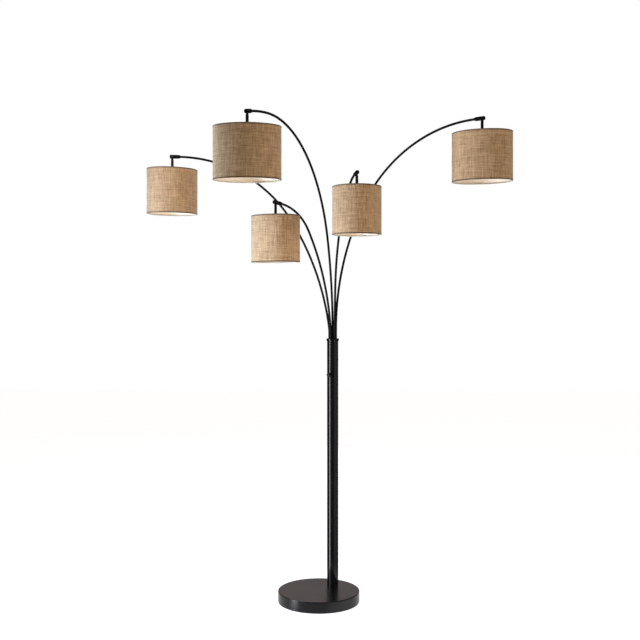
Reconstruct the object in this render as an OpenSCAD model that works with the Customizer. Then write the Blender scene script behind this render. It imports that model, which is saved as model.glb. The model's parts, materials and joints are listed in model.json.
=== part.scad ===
// Floor lamp with five arching arms on one pole, each arm with a hanging
// oval drum shade. Millimetres, +Z up. The origin is the middle of the
// underside of the round base, and +Y points to the back.

/* [Base] */
// Outer diameter of the round base cover
base_d = 356; // [320:1:420]
// Height of the base cover above the pad
base_h = 45; // [40:1:60]
// Sheet thickness of the base cover
cover_t = 2; // [1:0.5:3]
// Radius of the cover's rounded top edge
cover_edge_r = 3; // [2:0.5:6]
// Thickness of the pad under the base
pad_t = 3; // [2:0.5:6]
// How far the pad stays inside the cover's edge
pad_inset = 1; // [0.5:0.5:1.5]
// Thickness of the cast weight under the cover's top
weight_t = 22; // [16:1:25]
// Gap between the weight and the cover's skirt
weight_gap = 1; // [0.5:0.5:3]

/* [Pole] */
// Distance from the pole's middle to the edge of the base
pole_inset = 60; // [46:1:120]
// Direction from the middle of the base to the pole, 90 is straight back
pole_side = 58; // [0:1:180]
// Outer diameter of the pole
pole_d = 50; // [48:1:54]
// Wall of the pole tubes
pole_t = 2; // [1.5:0.25:2.5]
// Length of the pole's lower section
pole_lower_l = 545; // [400:5:700]
// Length of the pole's upper section
pole_upper_l = 539; // [400:1:700]
// Length of the tube that joins the two sections inside
coupler_l = 90; // [60:5:120]
// Wall of the joining tube
coupler_t = 3; // [2:0.5:4]
// Diameter of the hollow stud that holds the pole to the base
stud_d = 20; // [18:1:24]
// Bore of the stud, for the wire
stud_bore_d = 12; // [10:0.5:13]
// Height of the flanged nut under the weight
base_nut_h = 8; // [6:1:10]

/* [Pole head] */
// Diameter of the head's flared lip
head_lip_d = 56.5; // [55:0.5:64]
// Height of the head above the pole
head_h = 14; // [12:1:20]
// Height of the straight part of the lip
head_lip_h = 5; // [3:0.5:6]
// Length of the head inside the pole
head_plug_l = 34; // [28:1:60]
// Radius of the circle on which the arms stand in the head
socket_ring_r = 15.5; // [14.5:0.25:16]
// Depth of the arm sockets
socket_depth = 38; // [24:1:40]

/* [Switch] */
// Height of the switch above the floor
switch_z = 985; // [700:5:1060]
// Direction in which the switch knob points
switch_dir = -120; // [-180:1:180]
// Diameter of the switch knob
knob_d = 16; // [12:0.5:20]
// Length of the switch knob
knob_l = 13; // [10:0.5:18]

/* [Arms] */
// Outer diameter of the arm tubes
arm_d = 10; // [9:0.25:11]
// Wall of the arm tubes
arm_t = 1; // [0.75:0.25:1.5]
// Straight length of each arm above the head
arm_foot_l = 30; // [20:1:60]
// Directions in which the arms reach, from +X towards +Y
arm_dir = [-175, -111.6, -136, -77.6, -39.2]; // [-180:0.2:180]
// Directions of the arm sockets around the head
socket_dir = [162, 90, -126, -54, 18]; // [-180:1:180]
// Radius of the lowest bend of each arm
low_r = [130, 1410, 130, 1940, 1280]; // [100:10:2500]
// Angle of the lowest bend of each arm
low_a = [7, 17.5, 4.5, 6, 2.5]; // [1:0.5:30]
// Radius of the middle bend of each arm
mid_r = [1190, 640, 1040, 580, 1070]; // [300:10:2000]
// Angle of the middle bend of each arm
mid_a = [25, 75.5, 25.5, 53, 27.5]; // [10:0.5:80]
// Radius of the top bend of each arm
top_r = [590, 1200, 220, 190, 670]; // [120:10:2000]
// Angle of the top bend of each arm
top_a = [57.3, 6.8, 51.8, 23.4, 59.3]; // [2:0.1:60]

/* [Knuckles] */
// Diameter of the knuckle barrel at the end of each arm
barrel_d = 17; // [16:0.5:20]
// Length of the barrel from the knuckle pin to its outer face
barrel_nose_l = 11; // [10.5:0.5:16]
// Length of the barrel from the knuckle pin back along the arm
barrel_back_l = 35; // [30:1:42]
// Diameter of the knuckle screw's shank
pin_d = 4; // [3:0.5:5]
// Thickness of the stem's tongue in the barrel
tongue_t = 6; // [4:0.5:7]
// Width of the stem's tongue
tongue_w = 10; // [9:0.5:10.5]
// Largest swing of the stem either way from square to the barrel
stem_swing = 25; // [15:1:25]

/* [Stems and lampholders] */
// Diameter of the stem
stem_d = 12; // [11:0.5:14]
// Bore of the stem, for the wire
stem_bore_d = 6; // [4:0.5:7]
// Distance from the knuckle pin down to the top of the shade
shade_drop = 56; // [48:1:90]
// Distance from the shade's top down to its fitter washer
fitter_recess = 18; // [14:1:40]
// Diameter of the lampholder's body
holder_d = 36; // [34:0.5:40]
// Length of the lampholder's body below its flange
holder_l = 51; // [45:1:60]
// Diameter of the lampholder's flange
holder_flange_d = 44; // [43:0.5:50]
// Height of the ring that clamps the shade
shade_ring_h = 8; // [6:0.5:12]
// Outer diameter of the ring that clamps the shade
shade_ring_d = 50; // [46:1:56]

/* [Bulbs] */
// Diameter of the bulb
bulb_d = 60; // [45:1:65]
// Length of the bulb with its screw base
bulb_l = 110; // [100:1:118]
// Wall of the glass
bulb_t = 1; // [0.75:0.25:1.5]
// Diameter of the bulb's screw base
bulb_base_d = 26.4; // [25:0.1:27]

/* [Shades] */
// Length of the oval shade
shade_l = 254; // [230:1:280]
// Width of the oval shade
shade_w = 203; // [190:1:215]
// Height of the shade
shade_h = 200; // [190:1:240]
// Radius of the oval's two round ends
shade_end_r = 84; // [80:1:88]
// Thickness of the fabric with its stiff liner
shade_t = 1.2; // [1:0.1:2]
// Height of the folded hems at the shade's top and bottom
hem_h = 6; // [4:0.5:12]
// How far the folded hems stand out
hem_t = 0.5; // [0.3:0.1:1]
// Diameter of the two wire rings inside the hems
wire_d = 3; // [2.75:0.25:4]
// Diameter of the spokes that carry the top ring
spoke_d = 2.5; // [2:0.1:2.6]
// Turn of each shade's long axis from its arm
shade_turn = [53, 115.5, 68, -14, 2.5]; // [-180:0.5:180]

/* [Feed wire] */
// Diameter of the wire inside the base and the pole
feed_d = 6; // [5:0.5:7]
// Bend radius of the wire where it turns up into the pole
feed_bend_r = 12; // [10:0.5:12]

/* [Clearances] */
// Radial clearance of a tube or pin that turns in its hole
turn_gap = 0.05; // [0.02:0.01:0.1]
// Radial clearance between pieces that are fixed together
fixed_gap = 0.05; // [0.02:0.01:0.1]
// Gap between flat faces that slide over each other
face_gap = 0.15; // [0.1:0.05:0.3]
// Gap beside the tongue in the barrel's slot
slot_gap = 0.3; // [0.2:0.05:0.4]

/* [Hidden] */
$fn = 64;
arms = [0:4];

// Heights of the stand, from the floor up.
cover_top = pad_t + base_h;
weight_top = cover_top - cover_t;
weight_bottom = weight_top - weight_t;
nut_bottom = weight_bottom - base_nut_h;
pole_seam = cover_top + pole_lower_l;
pole_top = pole_seam + pole_upper_l;
head_top = pole_top + head_h;
pole_bore_r = pole_d/2 - pole_t;
pole_offset = base_d/2 - pole_inset;

// The pole's foot and the wire that comes up through it.
foot_plug_l = 30;
stud_reach = 1;
grommet_neck_d = feed_d + 2;
grommet_lip_d = grommet_neck_d + 1.5;
grommet_lip = 2;
grommet_seat = 0.35;
feed_z = pad_t + grommet_lip_d/2 + 0.5;
feed_end_gap = 0.3;

// The head's set screws lie in a groove around each arm's foot.
groove_w = 3.6;
groove_depth = 0.4;
set_screw_d = 4;
set_screw_point_d = 3;
set_screw_z = head_h - head_lip_h/2 - 4;
set_screw_gap = 0.3;

// The rotary switch.
switch_body_d = 18;
switch_bush_d = 10;
switch_nut_h = 2.5;
switch_nut_af = 14;
switch_body_depth = pole_bore_r + 1;
knob_flute_count = 18;

// Knuckle and stem, measured from the knuckle pin.
arm_in_barrel = 1.5;
arm_end_l = barrel_back_l - arm_in_barrel;
spigot_d = arm_d - 0.6;
spigot_bore_d = arm_d - 2*arm_t - 0.4;
spigot_lap = 3;
slot_half_l = barrel_d/2*tan(stem_swing) + tongue_w/2/cos(stem_swing) + slot_gap;
tongue_tip_r = tongue_w/2;
slot_roof = tongue_tip_r + slot_gap;
shoulder = (barrel_d/2 + slot_gap + stem_d/2*sin(stem_swing))/cos(stem_swing);
tube_stop = slot_half_l + 1.4;
screw_head_d = 2*pin_d;
screw_head_h = 0.6*pin_d;

// Lampholder and shade, measured down from the knuckle pin.
flange_z = shade_drop + fitter_recess;
flange_t = 3;
cap_h = 13;
cap_wall = 2.5;
cap_top_d = stem_d + 2*cap_wall;
stem_seat_l = 9;
washer_t = 2;
washer_d = 62;
spoke_lap = 3;
grip_d = 4;
grip_proud = 0.6;
grip_count = 12;
holder_bottom = flange_z + holder_l;
base_l = 26;
holder_bore_depth = base_l + 1;
holder_bore_r = bulb_base_d/2 + 0.4;
bulb_top = holder_bottom - base_l + face_gap;
bulb_neck_d = bulb_base_d + 1.5;
shade_bottom = shade_drop + shade_h;

// The oval of four tangent arcs: two ends and two longer sides.
oval_a = shade_l/2;
oval_b = shade_w/2;
oval_side_r = (oval_a*oval_a + oval_b*oval_b - 2*oval_a*shade_end_r)
    / (2*(oval_b - shade_end_r));
oval_beta = round(10000*atan2(oval_side_r - oval_b, oval_a - shade_end_r))/10000;
oval_shift = (oval_a - shade_end_r)*tan(oval_beta);

bronze = [0.17, 0.145, 0.135];
steel = [0.62, 0.62, 0.62];
iron = [0.3, 0.3, 0.31];
black = [0.1, 0.1, 0.1];
linen = [0.68, 0.54, 0.38];
brass = [0.75, 0.6, 0.3];
milk_glass = [0.95, 0.94, 0.9];

// Placing.

module at_pole(z) {
    rotate([0, 0, pole_side]) translate([pole_offset, 0, z])
        rotate([0, 0, -pole_side]) children();
}

module at_socket(k) {
    at_pole(head_top)
        translate([socket_ring_r*cos(socket_dir[k]), socket_ring_r*sin(socket_dir[k]), 0])
        rotate([0, 0, arm_dir[k]]) children();
}

// An arm bends three times. Its heading is 0 straight up and 90 level and
// outwards, and its places are [outwards, up] from the socket.
function bend_radii(k) = [low_r[k], mid_r[k], top_r[k]];
function bend_angles(k) = [low_a[k], mid_a[k], top_a[k]];
function heading(k, bends) = bends == 0 ? 0 : heading(k, bends - 1) + bend_angles(k)[bends - 1];
function place(k, bends) = bends == 0 ? [0, arm_foot_l] : place(k, bends - 1)
    + bend_radii(k)[bends - 1]*[
        cos(heading(k, bends - 1)) - cos(heading(k, bends)),
        sin(heading(k, bends)) - sin(heading(k, bends - 1))
    ];
function pin_place(k) = place(k, 3) + arm_end_l*[sin(heading(k, 3)), cos(heading(k, 3))];

// The knuckle pin, with X outwards along the arm and Z up.
module at_pin(k) {
    at_socket(k) translate([pin_place(k)[0], 0, pin_place(k)[1]]) children();
}

// The knuckle pin, with Z outwards along the barrel and X to its underside.
module at_barrel(k) {
    at_pin(k) rotate([0, heading(k, 3), 0]) children();
}

module at_shade(k) {
    at_pin(k) rotate([0, 0, shade_turn[k]]) children();
}

// Shared shapes.

module pipe(od, id, l) {
    linear_extrude(l) difference() {
        circle(d = od);
        circle(d = id);
    }
}

// A move in whole millimetres, then in thousandths, then by what is left,
// so that the ends of neighbouring bends meet face to face.
module move(v) {
    whole = [for (c = v) floor(c)];
    thousandths = [for (c = v - whole) floor(1000*c)/1000];
    translate(whole) translate(thousandths) translate(v - whole - thousandths) children();
}

// One bend of an arm's tube, drawn in the arm's own upright plane.
module bend(k, i) {
    from = heading(k, i);
    to = heading(k, i + 1);
    r = bend_radii(k)[i];
    centre = place(k, i) + r*[cos(from), -sin(from)];
    rotate([90, 0, 0]) move([centre[0], centre[1], 0])
        rotate_extrude(angle = to - from, start = 180 - to, $fn = 180)
        translate([r, 0]) difference() {
            circle(d = arm_d);
            circle(d = arm_d - 2*arm_t);
        }
}

// A profile carried around the oval: its X is the distance out from the
// oval's nominal line, and its Y is the height.
module around_oval() {
    for (side = [0, 1]) {
        move([side == 0 ? oval_a - shade_end_r : shade_end_r - oval_a, 0, 0])
            rotate_extrude(angle = 2*oval_beta, start = 180*side - oval_beta, $fn = 120)
            translate([shade_end_r, 0]) children();
        move([0, side == 0 ? -oval_shift : oval_shift, 0])
            rotate_extrude(angle = 180 - 2*oval_beta, start = 180*side + oval_beta, $fn = 180)
            move([shade_end_r + (oval_a - shade_end_r)/cos(oval_beta), 0, 0]) children();
    }
}

module hex_bar(af, h) {
    cylinder(d = af/cos(30), h = h, $fn = 6);
}

// Base.

module base_cover() {
    color(bronze) difference() {
        translate([0, 0, pad_t]) rotate_extrude($fn = 180) difference() {
            union() {
                square([base_d/2 - cover_edge_r, base_h]);
                square([base_d/2, base_h - cover_edge_r]);
                translate([base_d/2 - cover_edge_r, base_h - cover_edge_r])
                    circle(r = cover_edge_r, $fn = 48);
            }
            translate([-1, -1]) square([base_d/2 - cover_t + 1, base_h - cover_t + 1]);
        }
        at_pole(weight_top - 1) cylinder(d = stud_d + 2*fixed_gap, h = cover_t + 2);
        in_skirt() cylinder(d = grommet_neck_d + 2*fixed_gap, h = 4*cover_t, center = true);
    }
}

module base_weight() {
    color(iron) difference() {
        translate([0, 0, weight_bottom])
            cylinder(r = base_d/2 - cover_t - weight_gap, h = weight_t, $fn = 180);
        at_pole(weight_bottom - 1) cylinder(d = stud_d + 2*fixed_gap, h = weight_t + 2);
    }
}

module base_pad() {
    color(black) cylinder(r = base_d/2 - pad_inset, h = pad_t, $fn = 180);
}

module base_nut() {
    color(steel) at_pole(nut_bottom) difference() {
        union() {
            hex_bar(stud_d + 8, base_nut_h);
            translate([0, 0, base_nut_h - 2]) cylinder(d = stud_d + 22, h = 2);
        }
        translate([0, 0, -1]) cylinder(d = stud_d + 2*fixed_gap, h = base_nut_h + 2);
    }
}

// The middle of the hole in the cover's skirt, with Z pointing outwards.
module in_skirt() {
    rotate([0, 0, pole_side]) translate([base_d/2 - cover_t/2, 0, feed_z])
        rotate([0, 90, 0]) children();
}

module cord_grommet() {
    color(black) in_skirt() difference() {
        union() {
            cylinder(d = grommet_neck_d, h = cover_t + 2*grommet_lip, center = true);
            for (end = [0, 1]) mirror([0, 0, end])
                translate([0, 0, cover_t/2 + grommet_seat])
                cylinder(d = grommet_lip_d, h = grommet_lip - grommet_seat);
        }
        cylinder(d = feed_d + 2*fixed_gap, h = 8*cover_t, center = true);
    }
}

module feed_wire() {
    feed_r_out = base_d/2 + grommet_lip;
    turn_r = pole_offset + feed_bend_r;
    feed_top = switch_z - switch_body_d/2 - feed_end_gap;
    color(black) {
        rotate([0, 0, pole_side]) {
            translate([turn_r, 0, feed_z]) rotate([0, 90, 0])
                cylinder(d = feed_d, h = feed_r_out - turn_r);
            translate([turn_r, 0, feed_z + feed_bend_r]) rotate([90, 0, 0])
                rotate([0, 0, 180]) rotate_extrude(angle = 90)
                translate([feed_bend_r, 0]) circle(d = feed_d);
            translate([pole_offset, 0, feed_z + feed_bend_r])
                cylinder(d = feed_d, h = feed_top - feed_z - feed_bend_r);
        }
    }
}

// Pole.

module pole_foot() {
    stud_l = cover_top - nut_bottom + stud_reach;
    color(steel) at_pole(cover_top) difference() {
        union() {
            cylinder(r = pole_bore_r - fixed_gap, h = foot_plug_l);
            translate([0, 0, -stud_l]) cylinder(d = stud_d, h = stud_l + 1);
        }
        translate([0, 0, -stud_l - 1]) cylinder(d = stud_bore_d, h = stud_l + foot_plug_l + 2);
    }
}

module pole_lower() {
    color(bronze) at_pole(cover_top) pipe(pole_d, pole_d - 2*pole_t, pole_lower_l);
}

module pole_coupler() {
    od = pole_d - 2*pole_t - 2*fixed_gap;
    color(steel) at_pole(pole_seam - coupler_l/2) pipe(od, od - 2*coupler_t, coupler_l);
}

module pole_upper() {
    color(bronze) difference() {
        at_pole(pole_seam) pipe(pole_d, pole_d - 2*pole_t, pole_upper_l);
        at_switch() cylinder(d = switch_bush_d + 2*fixed_gap, h = pole_d);
    }
}

module pole_head() {
    color(bronze) difference() {
        at_pole(head_top) union() {
            translate([0, 0, -head_h]) rotate_extrude($fn = 96) polygon([
                [0, 0], [pole_d/2, 0], [head_lip_d/2, head_h - head_lip_h],
                [head_lip_d/2, head_h - 1], [head_lip_d/2 - 1, head_h], [0, head_h]
            ]);
            translate([0, 0, -head_h - head_plug_l])
                cylinder(r = pole_bore_r - fixed_gap, h = head_plug_l + 1);
        }
        for (k = arms) at_socket(k) {
            translate([0, 0, -socket_depth]) cylinder(d = arm_d + 2*turn_gap, h = socket_depth + 1);
            translate([0, 0, -head_h - head_plug_l - 1])
                cylinder(d = arm_d - 2*arm_t, h = head_h + head_plug_l);
        }
        set_screw_holes();
    }
}

// Each set screw comes in level from the lip, towards its own socket.
module at_set_screw(k) {
    at_pole(head_top - set_screw_z) rotate([0, 0, socket_dir[k]]) rotate([0, 90, 0]) children();
}

set_screw_in = socket_ring_r + arm_d/2 - groove_depth + set_screw_gap;
set_screw_shoulder = socket_ring_r + arm_d/2 + 1;
set_screw_out = pole_d/2 + 0.2;

module set_screw_holes() {
    for (k = arms) at_set_screw(k) translate([0, 0, socket_ring_r])
        cylinder(d = set_screw_d + 2*fixed_gap, h = head_lip_d);
}

module head_screws() {
    color(steel) for (k = arms) at_set_screw(k) difference() {
        union() {
            translate([0, 0, set_screw_in])
                cylinder(d = set_screw_point_d, h = set_screw_out - set_screw_in);
            translate([0, 0, set_screw_shoulder])
                cylinder(d = set_screw_d, h = set_screw_out - set_screw_shoulder);
        }
        translate([0, 0, set_screw_out - 2]) hex_bar(2, 3);
    }
}

// Switch.

// The pole's middle at the switch, with Z pointing out along the knob.
module at_switch() {
    at_pole(switch_z) rotate([0, 0, switch_dir]) rotate([0, 90, 0]) children();
}

switch_seat = pole_d/2;
bush_end = switch_seat + switch_nut_h + 2;

module switch_body() {
    color(black) at_switch() difference() {
        union() {
            intersection() {
                translate([0, 0, -1]) cylinder(d = switch_body_d, h = switch_body_depth);
                rotate([0, -90, 0]) cylinder(r = pole_bore_r - fixed_gap,
                    h = 2*switch_body_d, center = true);
            }
            cylinder(d = switch_bush_d, h = bush_end);
        }
        translate([0, 0, switch_seat - 6]) cylinder(d = 6 + 2*turn_gap, h = 20);
    }
}

module switch_nut() {
    color(steel) at_switch() translate([0, 0, switch_seat]) difference() {
        hex_bar(switch_nut_af, switch_nut_h);
        translate([0, 0, -1]) cylinder(d = switch_bush_d + 2*fixed_gap, h = switch_nut_h + 2);
    }
}

module switch_knob() {
    knob_start = bush_end + slot_gap;
    color(bronze) at_switch() {
        difference() {
            union() {
                translate([0, 0, knob_start]) cylinder(d = knob_d, h = knob_l - 1.5);
                translate([0, 0, knob_start + knob_l - 1.5])
                    cylinder(d1 = knob_d, d2 = knob_d - 3, h = 1.5);
            }
            for (i = [0:knob_flute_count - 1]) rotate([0, 0, 360*i/knob_flute_count])
                translate([knob_d/2 + 0.35, 0, knob_start + 1.5])
                cylinder(d = 1.4, h = knob_l, $fn = 16);
        }
        translate([0, 0, switch_seat - 5]) cylinder(d = 6, h = knob_start - switch_seat + 6);
    }
}

// Arms.

// The tube's foot stands in the head, with a groove for the set screw, and
// its end steps down to a spigot inside the knuckle's barrel.
module arm(k) {
    foot_in = socket_depth - face_gap;
    color(bronze) {
        difference() {
            at_socket(k) {
                translate([0, 0, -foot_in]) pipe(arm_d, arm_d - 2*arm_t, foot_in + arm_foot_l);
                for (i = [0:2]) bend(k, i);
            }
            at_socket(k) translate([0, 0, -set_screw_z - groove_w/2])
                pipe(2*arm_d, arm_d - 2*groove_depth, groove_w);
        }
        at_barrel(k) translate([0, 0, -arm_end_l - spigot_lap])
            pipe(spigot_d, spigot_bore_d, arm_end_l + spigot_lap - tube_stop);
    }
}

// The barrel that clamps onto the arm's end, slotted for the stem's tongue.
module knuckle(k) {
    taper_l = 8;
    color(bronze) at_barrel(k) difference() {
        rotate_extrude() polygon([
            [0, -barrel_back_l], [arm_d/2 + 1.5, -barrel_back_l],
            [barrel_d/2, -barrel_back_l + taper_l], [barrel_d/2, barrel_nose_l - 1],
            [barrel_d/2 - 1, barrel_nose_l], [0, barrel_nose_l]
        ]);
        translate([0, 0, -barrel_back_l - 1])
            cylinder(d = arm_d + 2*fixed_gap, h = arm_in_barrel + 1 + face_gap);
        translate([0, 0, -barrel_back_l])
            cylinder(d = spigot_d + 2*fixed_gap, h = barrel_back_l + face_gap - tube_stop);
        translate([0, 0, -tube_stop - 1]) cylinder(d = spigot_bore_d, h = tube_stop);
        translate([-slot_roof, -tongue_t/2 - slot_gap, -slot_half_l])
            cube([slot_roof + barrel_d, tongue_t + 2*slot_gap, 2*slot_half_l]);
        rotate([90, 0, 0]) cylinder(d = pin_d + 2*fixed_gap, h = 2*barrel_d, center = true);
        for (end = [-1, 1]) translate([0, end*(barrel_d/2 - screw_head_h), 0]) rotate([-90*end, 0, 0])
            cylinder(d = screw_head_d + 2*fixed_gap, h = barrel_d);
    }
}

module knuckle_screw(k) {
    head_y = barrel_d/2 - screw_head_h;
    color(steel) at_barrel(k) difference() {
        union() {
            rotate([90, 0, 0]) cylinder(d = pin_d, h = 2*head_y + 1, center = true);
            for (end = [-1, 1]) translate([0, end*(head_y + face_gap), 0])
                rotate([-90*end, 0, 0]) cylinder(d = screw_head_d, h = screw_head_h - 0.6);
        }
        translate([-screw_head_d, -barrel_d, -0.5]) cube([2*screw_head_d, barrel_d/2 + 1.4, 1]);
    }
}

// Hangers.

module stem(k) {
    seat = flange_z - cap_h + stem_seat_l;
    color(bronze) at_pin(k) difference() {
        union() {
            rotate([90, 0, 0]) cylinder(r = tongue_tip_r, h = tongue_t, center = true);
            translate([-tongue_w/2, -tongue_t/2, -shoulder - 1])
                cube([tongue_w, tongue_t, shoulder + 1]);
            translate([0, 0, -shoulder - 1]) cylinder(d1 = stem_d, d2 = stem_d - 2, h = 1);
            translate([0, 0, -seat]) cylinder(d = stem_d, h = seat - shoulder - 1);
        }
        rotate([90, 0, 0]) cylinder(d = pin_d + 2*turn_gap, h = 2*tongue_t, center = true);
        translate([0, 0, -seat - 1]) cylinder(d = stem_bore_d, h = seat - shoulder - 1);
    }
}

module lampholder(k) {
    seat = flange_z - cap_h + stem_seat_l;
    color(black) at_pin(k) difference() {
        rotate_extrude() polygon([
            [0, -flange_z + cap_h], [cap_top_d/2, -flange_z + cap_h],
            [cap_top_d/2 + 1, -flange_z + cap_h - 4],
            [holder_flange_d/2 - 2, -flange_z + flange_t + 1],
            [holder_flange_d/2, -flange_z + flange_t], [holder_flange_d/2, -flange_z],
            [holder_d/2, -flange_z], [holder_d/2, -holder_bottom + 2],
            [holder_d/2 - 2, -holder_bottom], [0, -holder_bottom]
        ]);
        translate([0, 0, -seat]) cylinder(d = stem_d + 2*fixed_gap, h = cap_h + stem_seat_l);
        translate([0, 0, -holder_bottom]) cylinder(d = stem_bore_d, h = holder_l);
        translate([0, 0, -holder_bottom - 1])
            cylinder(r = holder_bore_r, h = holder_bore_depth + 1);
    }
}

module shade_ring(k) {
    ring_top = flange_z + washer_t + 2*face_gap;
    color(black) at_pin(k) translate([0, 0, -ring_top - shade_ring_h]) difference() {
        cylinder(d = shade_ring_d, h = shade_ring_h);
        translate([0, 0, -1])
            cylinder(d = holder_d + 2*fixed_gap, h = shade_ring_h + 2);
        for (i = [0:grip_count - 1]) rotate([0, 0, 360*i/grip_count])
            translate([shade_ring_d/2 + grip_proud, 0, -1])
            cylinder(d = grip_d, h = shade_ring_h + 2, $fn = 24);
    }
}

// The bulb hangs with its cap up: its glass is a sphere with a cone that
// touches it, measured down from the top of the screw base.
bulb_r = bulb_d/2;
bulb_centre = bulb_l - bulb_r;
neck_run = bulb_centre - base_l;
neck_reach = sqrt(neck_run*neck_run + bulb_neck_d*bulb_neck_d/4);
touch = atan2(neck_run, bulb_neck_d/2) - acos(bulb_r/neck_reach);

module glass_outline(inset) {
    r = bulb_r - inset;
    intersection() {
        union() {
            translate([0, -bulb_centre]) circle(r = r, $fn = 96);
            polygon([
                [0, -base_l - inset], [bulb_neck_d/2 - inset, -base_l - inset],
                [r*cos(touch), -bulb_centre + r*sin(touch)], [0, -bulb_centre]
            ]);
        }
        translate([0, -2*bulb_l]) square([bulb_l, 2*bulb_l]);
    }
}

module bulb(k) {
    color(milk_glass) at_pin(k) translate([0, 0, -bulb_top]) {
        rotate_extrude() difference() {
            glass_outline(0);
            glass_outline(bulb_t);
        }
        translate([0, 0, -base_l]) difference() {
            rotate_extrude() polygon([
                [0, 0], [bulb_base_d/2, 0], [bulb_base_d/2, base_l - 4],
                [bulb_base_d/2 - 6, base_l - 1.5], [4.5, base_l], [0, base_l]
            ]);
            translate([0, 0, -1]) cylinder(d = bulb_base_d - 2, h = base_l - 8);
        }
    }
}

// Shades.

// The oval wall of fabric on its stiff liner, with a folded hem at each end.
module shade(k) {
    color(linen) at_shade(k) translate([0, 0, -shade_bottom]) around_oval() union() {
        translate([-shade_t - hem_t, 0]) square([shade_t, shade_h]);
        translate([-shade_t - hem_t, 0]) square([shade_t + hem_t, hem_h]);
        translate([-shade_t - hem_t, shade_h - hem_h]) square([shade_t + hem_t, hem_h]);
    }
}

// A wire ring inside each hem, and four spokes from the top ring down to
// the fitter washer.
module shade_frame(k) {
    ring_in = shade_t + hem_t + wire_d/2 + fixed_gap;
    ring_inset = wire_d/2 + 1;
    ring_z = -shade_drop - ring_inset;
    washer_z = -flange_z - face_gap - washer_t;
    spoke_in = washer_d/2 - spoke_lap;
    spoke_low = washer_z + washer_t/2;
    color(brass) at_shade(k) {
        for (z = [ring_z, ring_inset - shade_bottom]) translate([0, 0, z]) around_oval()
            translate([-ring_in, 0]) circle(d = wire_d, $fn = 24);
        translate([0, 0, washer_z]) pipe(washer_d, holder_d + 2*turn_gap, washer_t);
        for (i = [0:3]) {
            run = (i % 2 == 0 ? oval_a : oval_b) - ring_in - spoke_in;
            rise = ring_z - spoke_low;
            rotate([0, 0, 90*i]) translate([spoke_in, 0, spoke_low])
                rotate([0, atan2(run, rise), 0])
                cylinder(d = spoke_d, h = sqrt(run*run + rise*rise), $fn = 24);
        }
    }
}

base_cover();
base_weight();
base_pad();
base_nut();
cord_grommet();
feed_wire();
pole_foot();
pole_lower();
pole_coupler();
pole_upper();
pole_head();
head_screws();
switch_body();
switch_nut();
switch_knob();
arm(0);  // arm_1
arm(1);  // arm_2
arm(2);  // arm_3
arm(3);  // arm_4
arm(4);  // arm_5
knuckle(0);  // knuckle_1
knuckle(1);  // knuckle_2
knuckle(2);  // knuckle_3
knuckle(3);  // knuckle_4
knuckle(4);  // knuckle_5
knuckle_screw(0);  // knuckle_screw_1
knuckle_screw(1);  // knuckle_screw_2
knuckle_screw(2);  // knuckle_screw_3
knuckle_screw(3);  // knuckle_screw_4
knuckle_screw(4);  // knuckle_screw_5
stem(0);  // stem_1
stem(1);  // stem_2
stem(2);  // stem_3
stem(3);  // stem_4
stem(4);  // stem_5
lampholder(0);  // lampholder_1
lampholder(1);  // lampholder_2
lampholder(2);  // lampholder_3
lampholder(3);  // lampholder_4
lampholder(4);  // lampholder_5
bulb(0);  // bulb_1
bulb(1);  // bulb_2
bulb(2);  // bulb_3
bulb(3);  // bulb_4
bulb(4);  // bulb_5
shade_ring(0);  // shade_ring_1
shade_ring(1);  // shade_ring_2
shade_ring(2);  // shade_ring_3
shade_ring(3);  // shade_ring_4
shade_ring(4);  // shade_ring_5
shade_frame(0);  // shade_frame_1
shade_frame(1);  // shade_frame_2
shade_frame(2);  // shade_frame_3
shade_frame(3);  // shade_frame_4
shade_frame(4);  // shade_frame_5
shade(0);  // shade_1
shade(1);  // shade_2
shade(2);  // shade_3
shade(3);  // shade_4
shade(4);  // shade_5
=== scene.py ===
import json
import math

import bmesh
import bpy
import numpy as np
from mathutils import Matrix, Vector


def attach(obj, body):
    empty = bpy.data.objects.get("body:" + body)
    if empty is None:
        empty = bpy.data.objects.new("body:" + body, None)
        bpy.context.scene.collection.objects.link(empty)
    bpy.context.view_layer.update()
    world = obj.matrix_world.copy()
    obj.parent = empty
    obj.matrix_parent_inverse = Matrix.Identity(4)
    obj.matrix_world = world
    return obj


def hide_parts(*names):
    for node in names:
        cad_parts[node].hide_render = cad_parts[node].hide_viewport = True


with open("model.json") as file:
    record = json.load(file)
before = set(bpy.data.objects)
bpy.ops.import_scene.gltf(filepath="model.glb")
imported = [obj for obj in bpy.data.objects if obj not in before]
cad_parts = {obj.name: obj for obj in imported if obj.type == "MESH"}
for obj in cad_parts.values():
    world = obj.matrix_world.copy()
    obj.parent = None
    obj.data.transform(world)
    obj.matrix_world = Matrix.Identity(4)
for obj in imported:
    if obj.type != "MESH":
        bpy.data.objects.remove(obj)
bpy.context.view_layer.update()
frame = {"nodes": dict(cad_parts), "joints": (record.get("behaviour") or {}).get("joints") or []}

bl_info = {
    "name": "Multi-arm arc floor lamp",
    "version": (1, 0, 0),
    "blender": (4, 5, 0),
    "location": "3D View > Sidebar > Lamp",
    "description": "Dresses a five-arm arc floor lamp in linen, bronze paint, opal glass and felt",
    "category": "Object",
}

COUNT = 5
JOINTS = {joint["name"]: joint for joint in frame["joints"]}
PINS = [np.array(JOINTS[f"shade_{n}_tilt"]["pos_m"]) for n in range(1, COUNT + 1)]
# Each oval's long axis, in degrees from +X, as the shades stand at rest.
LONG_AXES = (58.0, 3.9, 112.0, 88.4, 143.3)

WHITE = (1.0, 1.0, 1.0, 1.0)
WARM_WHITE = (1.0, 0.93, 0.84, 1.0)
# The hems' colour is multiplied by this: partly the doubled, glued linen's own darker tone, partly
# painted shade, as no light comes through the doubled cloth.
HEM_CLOTH_AND_SHADE = (0.30, 0.30, 0.31, 1.0)
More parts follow.
